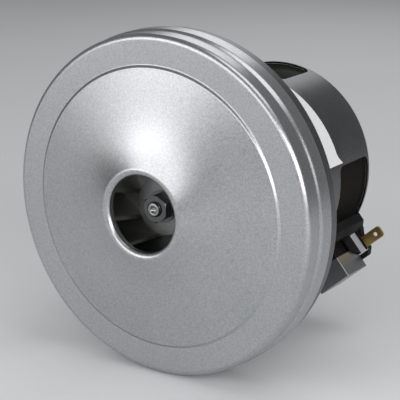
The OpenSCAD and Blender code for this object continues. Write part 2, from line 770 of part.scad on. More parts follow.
fan_cover();
motor_frame();
front_bracket();
bracket_screws();
diffuser();
impeller_front_disc();
impeller_back_disc();
impeller_blades();
impeller_hub();
fan_spacer();
fan_washer();
fan_nut();
shaft();
front_bearing_outer_race();
front_bearing_balls();
front_bearing_inner_race();
rear_bearing_outer_race();
rear_bearing_balls();
rear_bearing_inner_race();
bearing_preload_washer();
armature_core();
armature_windings();
commutator_hub();
commutator_bars();
stator_core();
field_coil_upper();
field_coil_lower();
brush_holder_right();
brush_holder_left();
brush_tube_right();
brush_tube_left();
brush_cap_right();
brush_cap_left();
carbon_brush_right();
carbon_brush_left();
brush_spring_right();
brush_spring_left();
terminal_right();
terminal_left();
holder_screws();
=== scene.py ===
"""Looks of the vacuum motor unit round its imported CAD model. The shaft lies along Y, the intake at -Y."""
import json
import math

import bmesh
import bpy
from mathutils import Matrix, Vector, geometry


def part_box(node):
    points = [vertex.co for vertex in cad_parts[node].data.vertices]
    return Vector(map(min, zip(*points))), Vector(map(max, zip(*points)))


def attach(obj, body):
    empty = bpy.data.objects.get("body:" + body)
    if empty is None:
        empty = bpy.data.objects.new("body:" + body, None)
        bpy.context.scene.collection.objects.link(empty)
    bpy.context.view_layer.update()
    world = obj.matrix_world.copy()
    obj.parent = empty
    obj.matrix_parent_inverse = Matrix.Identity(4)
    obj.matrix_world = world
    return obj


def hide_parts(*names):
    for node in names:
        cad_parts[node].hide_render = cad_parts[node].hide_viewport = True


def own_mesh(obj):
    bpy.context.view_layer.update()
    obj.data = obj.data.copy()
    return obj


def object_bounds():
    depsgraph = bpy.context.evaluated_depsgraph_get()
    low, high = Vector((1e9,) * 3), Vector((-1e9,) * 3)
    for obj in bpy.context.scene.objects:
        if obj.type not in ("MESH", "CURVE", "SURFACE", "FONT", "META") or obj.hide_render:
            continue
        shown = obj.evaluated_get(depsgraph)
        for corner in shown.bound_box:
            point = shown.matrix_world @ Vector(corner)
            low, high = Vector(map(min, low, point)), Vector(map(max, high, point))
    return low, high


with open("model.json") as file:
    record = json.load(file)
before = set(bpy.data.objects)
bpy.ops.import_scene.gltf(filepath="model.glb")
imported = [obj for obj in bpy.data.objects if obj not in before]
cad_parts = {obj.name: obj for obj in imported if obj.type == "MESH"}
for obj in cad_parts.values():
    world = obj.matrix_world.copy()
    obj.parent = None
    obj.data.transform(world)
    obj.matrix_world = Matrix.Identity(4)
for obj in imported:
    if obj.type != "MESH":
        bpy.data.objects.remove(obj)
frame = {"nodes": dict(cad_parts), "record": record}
cad_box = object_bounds()
MM = 0.001
TURN = 2 * math.pi

# Sizes read from the frame
cover_low, cover_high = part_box("fan_cover")
stack_low, stack_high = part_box("armature_core")
comm_low, comm_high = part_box("commutator_bars")
COVER_R = cover_high.x
LIP_Y = cover_low.y
EDGE_Y = cover_high.y
END_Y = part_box("motor_frame")[1].y

# Sizes of the fan cover: the source's, with softer bends at the step and the joggle
COVER_SHEET = 0.8 * MM
INTAKE_R = 14.9 * MM
INTAKE_L = 1.0 * MM
LIP_R = 2.1 * MM
LIP_SLOPE = math.radians(27)
DOME_R = 53.9 * MM
DOME_H = 10.4 * MM
STEP_H = 0.9 * MM
STEP_W = 1.5 * MM
CORNER_R = 2.3 * MM
JOGGLE = 0.8 * MM
JOGGLE_L = 2.2 * MM
BAND_L = 6 * MM
# Width of a painted highlight line of cut-edge finish along the cover's skirt edge
EDGE_HIGHLIGHT_BAND = 0.35 * MM
DOME_STEPS = 40
STEP_STEPS = 12
JOGGLE_STEPS = 14
FLAT_Y = LIP_Y + DOME_H
FRONT_R = COVER_R - JOGGLE

# Sizes of the motor frame
FRAME_SHEET = 0.9 * MM
RIM_R = COVER_R - COVER_SHEET
RIM_INSET = 0.4 * MM
RIM_Y = -BAND_L / 2 + RIM_INSET
RIM_ROUND = 0.1 * MM
FLANGE_DROP = 6.2 * MM
FLANGE_Y = EDGE_Y + FLANGE_DROP
FLANGE_FILLET = 1.6 * MM
ROOT_FILLET = 3 * MM
BACK_FILLET = 4 * MM
BOSS_FILLET = 1.5 * MM
CAN_R = 42 * MM
BOSS_L = 12.2 * MM
CAN_BACK_Y = END_Y - BOSS_L
BOSS_R = 11.9 * MM
BOSS_HOLE_R = 5.5 * MM
WINDOW_FROM_FLANGE = 47.4 * MM
WINDOW_L = 23 * MM
WINDOW_Y0 = FLANGE_Y + WINDOW_FROM_FLANGE
WINDOW_Y1 = WINDOW_Y0 + WINDOW_L
WINDOW_HALF = math.radians(119 / 2)
WINDOW_R = 3 * MM
WINDOW_CENTRES = (math.pi / 2, 3 * math.pi / 2)
BRUSH_A = math.radians(-49.5)
POLE_A = BRUSH_A + math.pi / 2

# Sizes of the shaft's fan end
SEAT_R = 3 * MM
DRILL_R = 1.4 * MM

# Sizes of the windings and springs
SLOTS = 22
SLOT_R = 15.9 * MM
END_TURN = 7 * MM
COIL_IN_R = 25.7 * MM
COIL_OUT_R = 31.2 * MM
COIL_WIRE_R = 0.44 * MM
COIL_SQUARENESS = 0.36
SLOT_STRANDS = 3
END_STRANDS = 5
STRAND_STEP = 1.1 * MM
SPRING_R = 2.6 * MM
SPRING_WIRE_R = 0.35 * MM
SPRING_TURNS = 8
SPRING_STATIONS = 28
SPRING_CLOSING = 0.11
SPRING_IN = 37.7 * MM
SPRING_OUT = 57.2 * MM
BRUSH_Y = (comm_low.y + comm_high.y) / 2

# Where the tin of each terminal ends, and how meshes are rounded
STRIP_END = 12.6 * MM
MERGE_GAP = 0.0005 * MM
FLAT_ANGLE = math.radians(0.5)
SHARP_ANGLE = math.radians(32)
SHEET_HOLD = 0.25 * MM


class Field:
    """A socket of a node tree that can be used in plain sums."""

    def __init__(self, tree, socket):
        self.tree = tree
        self.socket = socket

    def math(self, operation, other=None):
        node = self.tree.nodes.new("ShaderNodeMath")
        node.operation = operation
        plug(self.tree, self, node.inputs[0])
        if other is not None:
            plug(self.tree, other, node.inputs[1])
        return Field(self.tree, node.outputs[0])

    def __add__(self, other):
        return self.math("ADD", other)

    def __mul__(self, other):
        return self.math("MULTIPLY", other)

    def __sub__(self, other):
        return self.math("SUBTRACT", other)

    def __truediv__(self, other):
        return self.math("DIVIDE", other)

    def sin(self):
        return self.math("SINE")

    def cos(self):
        return self.math("COSINE")

    def floor(self):
        return self.math("FLOOR")

    def signed_power(self, exponent):
        return self.math("SIGN") * self.math("ABSOLUTE").math("POWER", exponent)


def plug(tree, value, socket):
    """Link a field or a socket to an input, or set the input to a plain value."""
    if isinstance(value, Field):
        value = value.socket
    if isinstance(value, bpy.types.NodeSocket):
        tree.links.new(value, socket)
    else:
        socket.default_value = value


def add_node(tree, kind, settings=None, **inputs):
    """A node with its settings and its inputs, which are named with _ for a space."""
    node = tree.nodes.new(kind)
    for key, value in (settings or {}).items():
        setattr(node, key, value)
    for key, value in inputs.items():
        plug(tree, value, node.inputs[key.replace("_", " ")])
    return node


# Materials: most of a grain's values lie between these two
GRAIN_LOW = 0.3
GRAIN_HIGH = 0.7


def new_material(name, color, metallic, roughness, **sockets):
    material = bpy.data.materials.new(name)
    material.use_nodes = True
    shader = material.node_tree.nodes["Principled BSDF"]
    shader.inputs["Base Color"].default_value = (*color, 1)
    shader.inputs["Metallic"].default_value = metallic
    shader.inputs["Roughness"].default_value = roughness
    for key, value in sockets.items():
        shader.inputs[key.replace("_", " ")].default_value = value
    return material, material.node_tree, shader


def object_grain(tree, scale, detail, stretch=(1, 1, 1)):
    """Noise from 0 to 1 on the object's own coordinates."""
    place = add_node(tree, "ShaderNodeTexCoord")
    mapping = add_node(tree, "ShaderNodeMapping", Vector=place.outputs["Object"], Scale=stretch)
    noise = add_node(tree, "ShaderNodeTexNoise", Vector=mapping.outputs[0], Scale=scale, Detail=detail)
    return Field(tree, noise.outputs["Fac"])


def tint(tree, shader, factor, low, high, start=GRAIN_LOW, end=GRAIN_HIGH):
    """A base colour that goes from low to high as the factor goes from start to end."""
    ramp = add_node(tree, "ShaderNodeValToRGB", Fac=factor)
    ramp.color_ramp.elements[0].position = start
    ramp.color_ramp.elements[0].color = (*low, 1)
    ramp.color_ramp.elements[1].position = end
    ramp.color_ramp.elements[1].color = (*high, 1)
    plug(tree, ramp.outputs[0], shader.inputs["Base Color"])


def dull(tree, shader, factor, smooth, rough):
    """A roughness that goes from smooth to rough with the grain."""
    spread = add_node(tree, "ShaderNodeMapRange", Value=factor, From_Min=GRAIN_LOW, From_Max=GRAIN_HIGH,
                      To_Min=smooth, To_Max=rough)
    plug(tree, spread.outputs[0], shader.inputs["Roughness"])


def bump(tree, shader, height, strength, distance):
    node = add_node(tree, "ShaderNodeBump", Height=height, Strength=strength, Distance=distance)
    tree.links.new(node.outputs[0], shader.inputs["Normal"])


def zinc_sheet():
    """Zinc-plated drawn sheet with a fine crystal grain."""
    material, tree, shader = new_material("zinc_sheet", (0.45, 0.46, 0.47), 1, 0.36)
    grain = object_grain(tree, 1600, 1)
    cloud = object_grain(tree, 45, 2)
    mixed = grain * 0.85 + cloud * 0.15
    tint(tree, shader, mixed, (0.39, 0.4, 0.41), (0.52, 0.53, 0.54), 0.32, 0.68)
    dull(tree, shader, mixed, 0.28, 0.32)
    bump(tree, shader, cloud, 0.05, 0.1 * MM)
    return material


def frame_sheet_painted_shade():
    """Satin drawn sheet of the motor frame, coloured dark as painted shade and painted dark reflection."""
    material, tree, shader = new_material("frame_sheet_painted_shade", (0.2, 0.21, 0.22), 1, 0.36)
    grain = object_grain(tree, 1300, 2)
    cloud = object_grain(tree, 45, 3)
    mixed = grain * 0.5 + cloud * 0.5
    tint(tree, shader, mixed, (0.13, 0.135, 0.14), (0.22, 0.225, 0.235))
    dull(tree, shader, mixed, 0.3, 0.44)
    bump(tree, shader, grain, 0.08, 0.04 * MM)
    return material


def metal_finish(name, low, high, smooth, rough, scale=2400, stretch=(1, 1, 1), metallic=1):
    """A plain metal with a fine grain in its colour and gloss."""
    material, tree, shader = new_material(name, high, metallic, rough)
    grain = object_grain(tree, scale, 3, stretch)
    tint(tree, shader, grain, low, high)
    dull(tree, shader, grain, smooth, rough)
    bump(tree, shader, grain, 0.02, 0.03 * MM)
    return material


def moulded_finish(name, low, high, smooth, rough, gloss=0.2):
    """A moulded or pressed material that isn't metal, with a fine sparked surface."""
    material, tree, shader = new_material(name, high, 0, rough, Specular_IOR_Level=gloss)
    grain = object_grain(tree, 900, 4)
    cloud = object_grain(tree, 120, 2)
    tint(tree, shader, cloud, low, high)
    dull(tree, shader, grain, smooth, rough)
    bump(tree, shader, grain, 0.2, 0.06 * MM)
    return material


def lamination_edges():
    """Stacked steel sheets: fine rings across the shaft."""
    material, tree, shader = new_material("lamination_edges", (0.3, 0.31, 0.32), 1, 0.45)
    place = add_node(tree, "ShaderNodeTexCoord")
    axis = add_node(tree, "ShaderNodeSeparateXYZ", Vector=place.outputs["Object"])
    sheet_t = 0.5 * MM
    rings = (Field(tree, axis.outputs["Y"]) * (TURN / sheet_t)).sin() * 0.5 + 0.5
    tint(tree, shader, rings, (0.1, 0.1, 0.11), (0.34, 0.35, 0.36), 0.05, 0.5)
    bump(tree, shader, rings, 0.5, 0.1 * MM)
    return material


def enamelled_wire():
    """Copper wire under a clear enamel."""
    material, tree, shader = new_material("enamelled_wire", (0.45, 0.17, 0.06), 0.75, 0.3, Coat_Weight=0.5,
                                          Coat_Roughness=0.15)
    cloud = object_grain(tree, 260, 3)
    tint(tree, shader, cloud, (0.28, 0.09, 0.03), (0.52, 0.21, 0.075))
    dull(tree, shader, cloud, 0.24, 0.4)
    return material


def paper_white():
    material, tree, shader = new_material("paper_white", (0.8, 0.8, 0.79), 0, 0.55)
    fibre = object_grain(tree, 1600, 4)
    tint(tree, shader, fibre, (0.74, 0.74, 0.73), (0.83, 0.83, 0.82))
    dull(tree, shader, fibre, 0.45, 0.65)
    bump(tree, shader, fibre, 0.15, 0.04 * MM)
    return material


def floor_card():
    material, tree, shader = new_material("floor_card", (0.6, 0.61, 0.62), 0, 0.7)
    cloud = object_grain(tree, 3, 2)
    tint(tree, shader, cloud, (0.72, 0.73, 0.74), (0.76, 0.77, 0.78))
    return material


LATHE_MARKS = {"scale": 1200, "stretch": (0.05, 1, 0.05)}
ZINC = zinc_sheet()
# Painted shade: the frame's outer face is coloured dark to show shade and dark reflection
FRAME_PAINTED_SHADE = frame_sheet_painted_shade()
# Painted shade: the can's inner face, the same sheet coloured as it looks in shade
FRAME_INSIDE_PAINTED_SHADE = metal_finish("can_inside_painted_shade", (0.2, 0.205, 0.2), (0.26, 0.265, 0.26), 0.4, 0.5)
# Bare cut edges of the frame's sheet, and a painted highlight line along the cover's edge
CUT_EDGE_AND_HIGHLIGHT = metal_finish("cut_edge_and_highlight", (0.6, 0.6, 0.58), (0.76, 0.76, 0.74), 0.4, 0.55)
PRESSED = metal_finish("pressed_sheet", (0.4, 0.41, 0.42), (0.58, 0.59, 0.6), 0.28, 0.42)
PLATED = metal_finish("plated_screw", (0.55, 0.55, 0.54), (0.72, 0.72, 0.7), 0.2, 0.32)
# Painted shade: the fan's aluminium is coloured dark to show the shade inside the intake
ALUMINIUM_PAINTED_SHADE = metal_finish("fan_aluminium", (0.25, 0.25, 0.24), (0.34, 0.34, 0.33), 0.36, 0.5)
NUT_STEEL = metal_finish("nut_steel", (0.09, 0.094, 0.094), (0.14, 0.145, 0.145), 0.17, 0.25)
WASHER_STEEL = metal_finish("washer_steel", (0.2, 0.205, 0.2), (0.27, 0.275, 0.27), 0.34, 0.44)
TURNED = metal_finish("turned_steel", (0.22, 0.22, 0.22), (0.32, 0.32, 0.31), 0.18, 0.28, **LATHE_MARKS)
GROUND = metal_finish("bearing_steel", (0.6, 0.6, 0.61), (0.72, 0.72, 0.73), 0.1, 0.18)
COPPER = metal_finish("turned_copper", (0.5, 0.24, 0.13), (0.72, 0.4, 0.24), 0.22, 0.36, **LATHE_MARKS)
TUBE_BRASS = metal_finish("tube_brass", (0.55, 0.42, 0.2), (0.75, 0.6, 0.33), 0.25, 0.4)
TAB_BRASS = metal_finish("tab_brass", (0.42, 0.28, 0.1), (0.6, 0.42, 0.17), 0.3, 0.45)
TINNED = metal_finish("tinned_sheet", (0.78, 0.77, 0.81), (0.88, 0.87, 0.91), 0.45, 0.58, metallic=0.2)
# Painted shade: the brush caps' steel is coloured dark to show their shaded front faces
CAP_STEEL_PAINTED_SHADE = metal_finish("cap_steel_painted_shade", (0.3, 0.315, 0.32), (0.39, 0.405, 0.41), 0.36, 0.44)
SPRING = metal_finish("spring_wire", (0.4, 0.4, 0.4), (0.55, 0.55, 0.54), 0.25, 0.38)
BLACK = moulded_finish("black_plastic", (0.006, 0.006, 0.007), (0.011, 0.011, 0.012), 0.4, 0.55, 0.12)
PHENOLIC = moulded_finish("phenolic", (0.1, 0.04, 0.015), (0.17, 0.075, 0.03), 0.35, 0.5)
CARBON = moulded_finish("carbon", (0.025, 0.025, 0.026), (0.045, 0.045, 0.047), 0.4, 0.6)
LAMINATION = lamination_edges()
WIRE = enamelled_wire()
PAPER = paper_white()

CAD_FINISHES = {
    PRESSED: ["front_bracket"],
    PLATED: ["bracket_screws", "holder_screws"],
    BLACK: ["diffuser", "brush_holder_right", "brush_holder_left"],
    ALUMINIUM_PAINTED_SHADE: ["impeller_front_disc", "impeller_back_disc", "impeller_blades"],
    TURNED: ["impeller_hub", "fan_spacer", "shaft"],
    NUT_STEEL: ["fan_nut"],
    WASHER_STEEL: ["fan_washer"],
    GROUND: ["front_bearing_outer_race", "front_bearing_balls", "front_bearing_inner_race",
             "rear_bearing_outer_race", "rear_bearing_balls", "rear_bearing_inner_race",
             "bearing_preload_washer"],
    LAMINATION: ["armature_core", "stator_core"],
    PHENOLIC: ["commutator_hub"],
    COPPER: ["commutator_bars"],
    TUBE_BRASS: ["brush_tube_right", "brush_tube_left"],
    CAP_STEEL_PAINTED_SHADE: ["brush_cap_right", "brush_cap_left"],
    CARBON: ["carbon_brush_right", "carbon_brush_left"],
    TAB_BRASS: ["terminal_right", "terminal_left"],
}
finish_of = {}
for finish, names in CAD_FINISHES.items():
    for name in names:
        finish_of[name] = finish
        frame["nodes"][name].data.materials.clear()
        frame["nodes"][name].data.materials.append(finish)

body_of = {}
for body, names in frame["record"]["behaviour"]["bodies"].items():
    for name in names:
        body_of[name] = body


# Shared ways of making pieces
def new_piece(name, mesh):
    piece = bpy.data.objects.new(name, mesh)
    bpy.context.scene.collection.objects.link(piece)
    return piece


def stand_for(piece, *nodes):
    """A piece that takes the place and the body of CAD nodes, which are hidden."""
    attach(piece, body_of[nodes[0]])
    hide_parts(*nodes)
    return piece


def settle(piece):
    """Turn what the modifiers make into the piece's plain mesh."""
    graph = bpy.context.evaluated_depsgraph_get()
    made = piece.evaluated_get(graph)
    mesh = bpy.data.meshes.new_from_object(made, preserve_all_data_layers=True, depsgraph=graph)
    piece.modifiers.clear()
    piece.data = mesh
    return piece


def face_outwards(mesh):
    """Merge doubles, turn the faces outwards and shade them smooth."""
    shape = bmesh.new()
    shape.from_mesh(mesh)
    bmesh.ops.remove_doubles(shape, verts=shape.verts, dist=MERGE_GAP)
    bmesh.ops.recalc_face_normals(shape, faces=shape.faces)
    for face in shape.faces:
        face.smooth = True
    shape.to_mesh(mesh)
    shape.free()


def new_growth(name, inputs):
    """A Geometry Nodes tree with a geometry socket, the named inputs and one output."""
    tree = bpy.data.node_groups.new(name, "GeometryNodeTree")
    tree.interface.new_socket("Geometry", in_out="INPUT", socket_type="NodeSocketGeometry")
    for label, kind in inputs.items():
        tree.interface.new_socket(label, in_out="INPUT", socket_type="NodeSocket" + kind)
    tree.interface.new_socket("Geometry", in_out="OUTPUT", socket_type="NodeSocketGeometry")
    source = tree.nodes.new("NodeGroupInput")
    target = tree.nodes.new("NodeGroupOutput")
    return tree, {socket.name: Field(tree, socket) for socket in source.outputs if socket.name}, target


def close_growth(tree, target, shape, finish):
    """End a tree in real geometry with smooth faces and a material."""
    real = add_node(tree, "GeometryNodeRealizeInstances", Geometry=shape)
    smooth = add_node(tree, "GeometryNodeSetShadeSmooth", Geometry=real.outputs[0])
    painted = add_node(tree, "GeometryNodeSetMaterial", Geometry=smooth.outputs[0], Material=finish)
    tree.links.new(painted.outputs[0], target.inputs[0])
    return tree


def grow(name, tree, values, mesh=None):
    """A piece made by a Geometry Nodes tree from named values."""
    piece = new_piece(name, mesh or bpy.data.meshes.new(name))
    modifier = piece.modifiers.new(name, "NODES")
    modifier.node_group = tree
    for item in tree.interface.items_tree:
        if item.in_out == "INPUT" and item.name in values:
            modifier[item.identifier] = values[item.name]
    return settle(piece)


def softened(node, width):
    """A copy of a CAD node with its sharp edges rounded."""
    shape = bmesh.new()
    shape.from_mesh(frame["nodes"][node].data)
    bmesh.ops.remove_doubles(shape, verts=shape.verts, dist=2 * MERGE_GAP)
    bmesh.ops.dissolve_limit(shape, angle_limit=FLAT_ANGLE, verts=shape.verts, edges=shape.edges)
    mesh = bpy.data.meshes.new(node + "_soft")
    shape.to_mesh(mesh)
    shape.free()
    mesh.materials.append(finish_of[node])
    piece = new_piece(node + "_piece", mesh)
    rounding = piece.modifiers.new("rounding", "BEVEL")
    rounding.width = width
    rounding.segments = 2
    rounding.limit_method = "ANGLE"
    rounding.angle_limit = SHARP_ANGLE
    rounding.use_clamp_overlap = True
    for face in mesh.polygons:
        face.use_smooth = True
    weighted = piece.modifiers.new("weighted", "WEIGHTED_NORMAL")
    weighted.keep_sharp = False
    settle(piece)
    return stand_for(piece, node)


def joined(name, pieces):
    """One piece from several, which share their first material."""
    shape = bmesh.new()
    for piece in pieces:
        shape.from_mesh(piece.data)
    mesh = bpy.data.meshes.new(name)
    shape.to_mesh(mesh)
    shape.free()
    mesh.materials.append(pieces[0].data.materials[0])
    for piece in pieces:
        bpy.data.objects.remove(piece)
    return new_piece(name, mesh)


# The fan cover: a spun sheet
RING_STEPS = 240


def arc(centre, radius, start, end, steps):
    """Points [radius, station] of an arc, from angle start to angle end in degrees."""
    points = []
    for i in range(steps + 1):
        a = math.radians(start + (end - start) * i / steps)
        points.append(Vector((centre[0] + radius * math.cos(a), centre[1] + radius * math.sin(a))))
    return points


def ease(u):
    return u * u * (3 - 2 * u)


def held_line(path, hold):
    """The path with two more points near the ends of every long stretch, to keep its shading flat."""
    points = [path[0]]
    for a, b in zip(path, path[1:]):
        if (b - a).length > 4 * hold:
            step = (b - a).normalized() * hold
            points += [a + step, b - step]
        points.append(b)
    return points


def sheet_loop(path, thickness, end_steps=6):
    """A closed outline round a drawn sheet whose outer face follows the path, with rounded edges."""
    half = thickness / 2
    path = path[:]
    path[0] = path[0] + (path[1] - path[0]).normalized() * half
    path[-1] = path[-1] + (path[-2] - path[-1]).normalized() * half
    path = held_line(path, SHEET_HOLD)
    tangents = []
    for i in range(len(path)):
        tangents.append((path[min(i + 1, len(path) - 1)] - path[max(i - 1, 0)]).normalized())
    normals = [Vector((-t.y, t.x)) for t in tangents]

    def rounded_end(i, side):
        """Points round the end at path point i: from the outer face for side 1, else from the inner."""
        centre = path[i] + normals[i] * half
        return [centre + (tangents[i] * math.sin(a) - normals[i] * math.cos(a)) * (half * side)
                for a in (math.pi * k / end_steps for k in range(1, end_steps))]

    inner = [p + n * thickness for p, n in zip(path, normals)]
    return path + rounded_end(-1, 1) + inner[::-1] + rounded_end(0, -1)


def cover_path():
    """Outer face of the cover, from inside the intake to the edge of the skirt."""
    lip_centre = (INTAKE_R + LIP_R, LIP_Y + LIP_R)
    dome_start = arc(lip_centre, LIP_R, 270 + math.degrees(LIP_SLOPE), 271, 1)[0]
    dome_end = Vector((DOME_R, FLAT_Y - STEP_H))
    run = dome_end.x - dome_start.x
    rise = dome_end.y - dome_start.y
    mix = (4 - math.tan(LIP_SLOPE) * run / rise) / 3
    dome = []
    for i in range(1, DOME_STEPS + 1):
        u = 1 - i / DOME_STEPS
        fall = rise * (mix * u + (1 - mix) * u ** 4)
        dome.append(Vector((dome_start.x + run * i / DOME_STEPS, dome_end.y - fall)))
    step = []
    for i in range(1, STEP_STEPS + 1):
        u = i / STEP_STEPS
        step.append(Vector((DOME_R + STEP_W * u, FLAT_Y - STEP_H * (1 - ease(u)))))
    joggle = []
    for i in range(JOGGLE_STEPS + 1):
        u = i / JOGGLE_STEPS
        joggle.append(Vector((FRONT_R + JOGGLE * ease(u), -BAND_L / 2 - JOGGLE_L * (1 - u))))
    path = [Vector((INTAKE_R, lip_centre[1] + INTAKE_L))]
    path += arc(lip_centre, LIP_R, 180, 270 + math.degrees(LIP_SLOPE), 16)
    path += dome + step
    path += arc((FRONT_R - CORNER_R, FLAT_Y + CORNER_R), CORNER_R, -90, 0, 12)
    path += joggle
    path.append(Vector((COVER_R, EDGE_Y)))
    return path


def spin_tree():
    """Turns an outline of [radius, station] about the shaft."""
    inputs = {"Guide Radius": "Float", "Segments": "Int", "Finish": "Material"}
    tree, given, target = new_growth("spun_sheet", inputs)
    back = add_node(tree, "ShaderNodeCombineXYZ", X=given["Guide Radius"] * -1)
    shifted = add_node(tree, "GeometryNodeTransform", Geometry=given["Geometry"],
                       Translation=back.outputs[0])
    outline = add_node(tree, "GeometryNodeMeshToCurve", Mesh=shifted.outputs[0])
    guide = add_node(tree, "GeometryNodeCurvePrimitiveCircle", Resolution=given["Segments"],
                     Radius=given["Guide Radius"])
    sheet = add_node(tree, "GeometryNodeCurveToMesh", Curve=guide.outputs[0],
                     Profile_Curve=outline.outputs[0])
    upright = add_node(tree, "GeometryNodeTransform", Geometry=sheet.outputs[0],
                       Rotation=(math.pi / 2, 0, 0))
    return close_growth(tree, target, upright.outputs[0], given["Finish"])


def make_fan_cover():
    loop = sheet_loop(cover_path(), COVER_SHEET)
    mesh = bpy.data.meshes.new("cover_outline")
    edges = [(i, (i + 1) % len(loop)) for i in range(len(loop))]
    mesh.from_pydata([(p.x, p.y, 0) for p in loop], edges, [])
    values = {"Guide Radius": COVER_R, "Segments": RING_STEPS, "Finish": ZINC}
    piece = grow("fan_cover_piece", spin_tree(), values, mesh)
    face_outwards(piece.data)
    # A thin band at the skirt's edge gets the bright cut-edge finish: a painted highlight line
    piece.data.materials.append(CUT_EDGE_AND_HIGHLIGHT)
    for face in piece.data.polygons:
        face.material_index = 1 if face.center.y > EDGE_Y - EDGE_HIGHLIGHT_BAND else 0
    return stand_for(piece, "fan_cover")


# The motor frame: one drawn sheet with two windows
EDGE_ROUND = 0.2 * MM
EDGE_DEPTHS = (EDGE_ROUND, FRAME_SHEET - EDGE_ROUND)
OUTSIDE, INSIDE, CUT = 0, 1, 2


class Sheet:
    """Points with their own normals, and the faces between them."""

    def __init__(self):
        self.points = []
        self.normals = []
        self.faces = []
        self.finishes = []

    def point(self, radius, angle, y, normal):
        """A point at an angle from the seam; the normal is given as [radial, round, along]."""
        a = POLE_A + angle
        out = Vector((math.cos(a), 0, math.sin(a)))
        tangent = Vector((-math.sin(a), 0, math.cos(a)))
        self.points.append(out * radius + Vector((0, y, 0)))
        direction = out * normal[0] + tangent * normal[1] + Vector((0, normal[2], 0))
        self.normals.append(direction.normalized())
        return len(self.points) - 1

    def ring(self, radius, y, normal):
        """A closed loop round the shaft; the normal is given as [radial, along]."""
        turned = (normal[0], 0, normal[1])
        return [self.point(radius, TURN * k / RING_STEPS, y, turned) for k in range(RING_STEPS)]

    def face(self, corners, finish):
        self.faces.append(corners)
        self.finishes.append(finish)

    def band(self, first, second, finish):
        """Faces between two closed loops of points."""
        count = len(first)
        for k in range(count):
            n = (k + 1) % count
            self.face((first[k], first[n], second[n], second[k]), finish)


def path_normals(path):
    """Outward normals along an outer path that runs from the rim to the boss."""
    normals = []
    for i in range(len(path)):
        t = path[min(i + 1, len(path) - 1)] - path[max(i - 1, 0)]
        normals.append(Vector((t.y, -t.x)).normalized())
    return normals


def window_outline(centre, grow_by):
    """One window's outline as (angle, y), anticlockwise, sampled at the rings' angles on its long sides."""
    radius = WINDOW_R + grow_by
    half = WINDOW_HALF - WINDOW_R / CAN_R
    step = TURN / RING_STEPS
    spare = 0.2
    first = math.ceil((centre - half) / step + spare)
    last = math.floor((centre + half) / step - spare)
    long_side = [k * step for k in range(first, last + 1)]
    low = WINDOW_Y0 + WINDOW_R
    high = WINDOW_Y1 - WINDOW_R

    def corner(angle, y, start):
        return [(angle + p.x / CAN_R, y + p.y) for p in arc((0, 0), radius, start, start + 90, 8)]

    parts = 8
    side_y = [low + (high - low) * k / parts for k in range(1, parts)]
    out = radius / CAN_R
    outline = [(a, WINDOW_Y0 - grow_by) for a in long_side]
    outline += corner(centre + half, low, -90)
    outline += [(centre + half + out, y) for y in side_y]
    outline += corner(centre + half, high, 0)
    outline += [(a, WINDOW_Y1 + grow_by) for a in reversed(long_side)]
    outline += corner(centre - half, high, 90)
    outline += [(centre - half - out, y) for y in reversed(side_y)]
    outline += corner(centre - half, low, 180)
    return outline


def in_window(angle, y, centre, margin=EDGE_ROUND):
    """Whether a place lies within a window or a margin round it."""
    across = abs(angle - centre) * CAN_R
    along = abs(y - (WINDOW_Y0 + WINDOW_Y1) / 2)
    dx = across - (WINDOW_HALF * CAN_R - WINDOW_R)
    dy = along - ((WINDOW_Y1 - WINDOW_Y0) / 2 - WINDOW_R)
    return Vector((max(dx, 0), max(dy, 0))).length < WINDOW_R + margin


def frame_path():
    """Outer face of the sheet in two runs: rim to can, and can to boss."""
    front = [Vector((RIM_R, RIM_Y))]
    front += arc((RIM_R - FLANGE_FILLET, FLANGE_Y - FLANGE_FILLET), FLANGE_FILLET, 0, 90, 8)
    front += arc((CAN_R + ROOT_FILLET, FLANGE_Y + ROOT_FILLET), ROOT_FILLET, 270, 180, 10)
    back = arc((CAN_R - BACK_FILLET, CAN_BACK_Y - BACK_FILLET), BACK_FILLET, 0, 90, 12)
    back += arc((BOSS_R + BOSS_FILLET, CAN_BACK_Y + BOSS_FILLET), BOSS_FILLET, 270, 180, 8)
    back += arc((BOSS_R - BOSS_FILLET, END_Y - BOSS_FILLET), BOSS_FILLET, 0, 90, 8)
    back.append(Vector((BOSS_HOLE_R + EDGE_ROUND, END_Y)))
    return front, back


